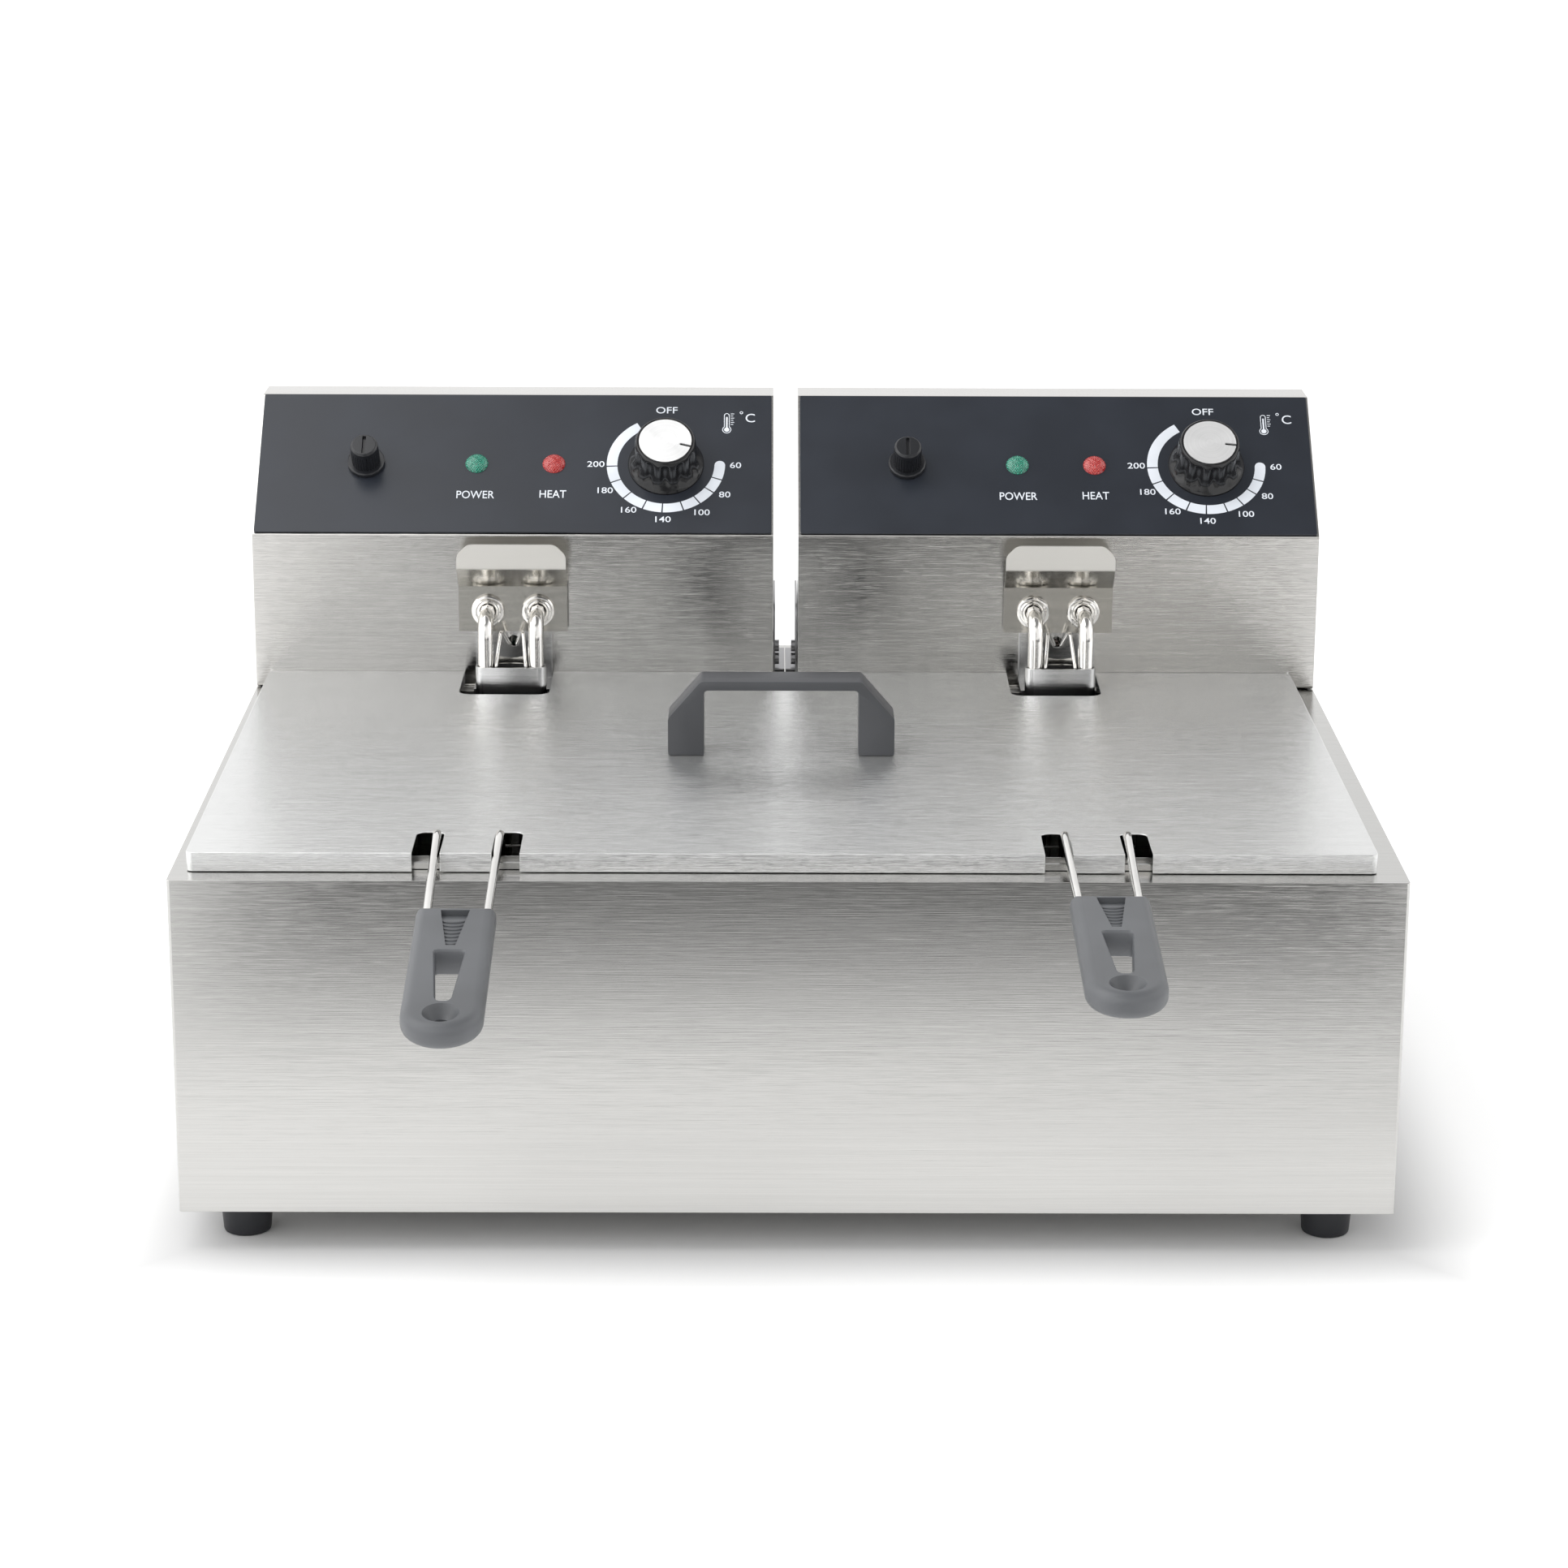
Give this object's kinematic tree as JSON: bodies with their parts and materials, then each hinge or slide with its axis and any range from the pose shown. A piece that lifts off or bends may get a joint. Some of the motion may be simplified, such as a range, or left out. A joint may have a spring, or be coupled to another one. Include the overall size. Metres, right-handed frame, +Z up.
{
  "type": "deep fryer",
  "caption": "Countertop double deep fryer: steel body with two oil tanks, lift-off lid and baskets, and two tilting control heads with knobs, lamps and heating elements.",
  "frame": {"origin": "middle of the bounding box at the level of the feet", "axes": "+X to the right along the width, +Y to the back, away from the basket handles, +Z up"},
  "size_m": [0.5616, 0.5902, 0.321],
  "materials": {
    "stainless_steel": "brushed along the width, light satin",
    "dull_steel": "dull, lightly brushed",
    "bright_wire": "bright drawn wire and tube",
    "black_panel": "dark blue-grey satin print",
    "black_gloss": "glossy black moulding",
    "aluminium": "radially brushed disc",
    "grey_plastic": "dark grey matt moulding",
    "black_rubber": "matt black",
    "green_lens": "translucent green lens",
    "red_lens": "translucent red lens",
    "ceramic": "off-white ceramic"
  },
  "bodies": {
    "body": {"body_shell": "stainless_steel", "base_plate": "dull_steel", "foot_front_left": "black_rubber", "foot_front_right": "black_rubber", "foot_rear_left": "black_rubber", "foot_rear_right": "black_rubber", "tank_left": "stainless_steel", "tank_right": "stainless_steel", "head_guide_left_outer": "dull_steel", "head_guide_left_inner": "dull_steel", "head_guide_right_outer": "dull_steel", "head_guide_right_inner": "dull_steel"},
    "lid_assembly": {"lid": "stainless_steel", "lid_handle": "grey_plastic"},
    "left_basket": {"basket_left": "bright_wire", "handle_wire_left": "bright_wire", "basket_grip_left": "grey_plastic"},
    "left_head": {"head_shell_left": "stainless_steel", "control_panel_left": "black_panel", "back_cover_left": "stainless_steel", "cable_gland_left": "black_rubber", "lamp_green_left": "green_lens", "lamp_red_left": "red_lens", "fuse_holder_left": "black_gloss", "thermostat_left": "dull_steel", "terminal_block_left": "ceramic", "heating_element_left": "bright_wire", "element_fitting_left_left": "bright_wire", "element_fitting_left_right": "bright_wire", "element_strap_left": "stainless_steel", "element_channel_left": "stainless_steel", "thermostat_probe_left": "bright_wire", "limiter_probe_left": "bright_wire", "basket_hanger_left": "stainless_steel"},
    "left_knob": {"knob_left": "black_gloss", "knob_cap_left": "aluminium"},
    "left_fuse_cap": {"fuse_cap_left": "black_gloss"},
    "right_basket": {"basket_right": "bright_wire", "handle_wire_right": "bright_wire", "basket_grip_right": "grey_plastic"},
    "right_head": {"head_shell_right": "stainless_steel", "control_panel_right": "black_panel", "back_cover_right": "stainless_steel", "cable_gland_right": "black_rubber", "lamp_green_right": "green_lens", "lamp_red_right": "red_lens", "fuse_holder_right": "black_gloss", "thermostat_right": "dull_steel", "terminal_block_right": "ceramic", "heating_element_right": "bright_wire", "element_fitting_right_left": "bright_wire", "element_fitting_right_right": "bright_wire", "element_strap_right": "stainless_steel", "element_channel_right": "stainless_steel", "thermostat_probe_right": "bright_wire", "limiter_probe_right": "bright_wire", "basket_hanger_right": "stainless_steel"},
    "right_knob": {"knob_right": "black_gloss", "knob_cap_right": "aluminium"},
    "right_fuse_cap": {"fuse_cap_right": "black_gloss"}
  },
  "joints": [
    {"name": "lid_lift", "type": "slide", "parent": "body", "child": "lid_assembly", "axis": [0, -0.3714, 0.9285], "range_m": [0, 0.7]},
    {"name": "left_basket_lift", "type": "slide", "parent": "body", "child": "left_basket", "axis": [0, -0.1483, 0.9889], "range_m": [0, 0.35]},
    {"name": "left_head_tilt", "type": "hinge", "parent": "body", "child": "left_head", "pos_m": [-0.142, 0.27883, 0.184], "axis": [-1, 0, 0], "range_deg": [0, 50.2]},
    {"name": "left_knob_turn", "type": "hinge", "parent": "left_head", "child": "left_knob", "pos_m": [-0.063, 0.22535, 0.28963], "axis": [0, -0.6673, 0.7448], "range_deg": [-225, 105]},
    {"name": "left_fuse_cap_turn", "type": "hinge", "parent": "left_head", "child": "left_fuse_cap", "pos_m": [-0.2203, 0.22535, 0.28963], "axis": [0, -0.6673, 0.7448], "range_deg": [0, 90]},
    {"name": "right_basket_lift", "type": "slide", "parent": "body", "child": "right_basket", "axis": [0, -0.1483, 0.9889], "range_m": [0, 0.35]},
    {"name": "right_head_tilt", "type": "hinge", "parent": "body", "child": "right_head", "pos_m": [0.142, 0.27883, 0.184], "axis": [-1, 0, 0], "range_deg": [0, 50.2]},
    {"name": "right_knob_turn", "type": "hinge", "parent": "right_head", "child": "right_knob", "pos_m": [0.221, 0.22535, 0.28963], "axis": [0, -0.6673, 0.7448], "range_deg": [-233, 97]},
    {"name": "right_fuse_cap_turn", "type": "hinge", "parent": "right_head", "child": "right_fuse_cap", "pos_m": [0.0637, 0.22535, 0.28963], "axis": [0, -0.6673, 0.7448], "range_deg": [0, 90]}
  ],
  "couplings": [
    {"joint": "left_basket_lift", "follows": "lid_lift", "ratio": 0.5},
    {"joint": "left_head_tilt", "follows": "lid_lift", "rad_per_m": 1.25},
    {"joint": "right_basket_lift", "follows": "lid_lift", "ratio": 0.5},
    {"joint": "right_head_tilt", "follows": "lid_lift", "rad_per_m": 1.25}
  ]
}
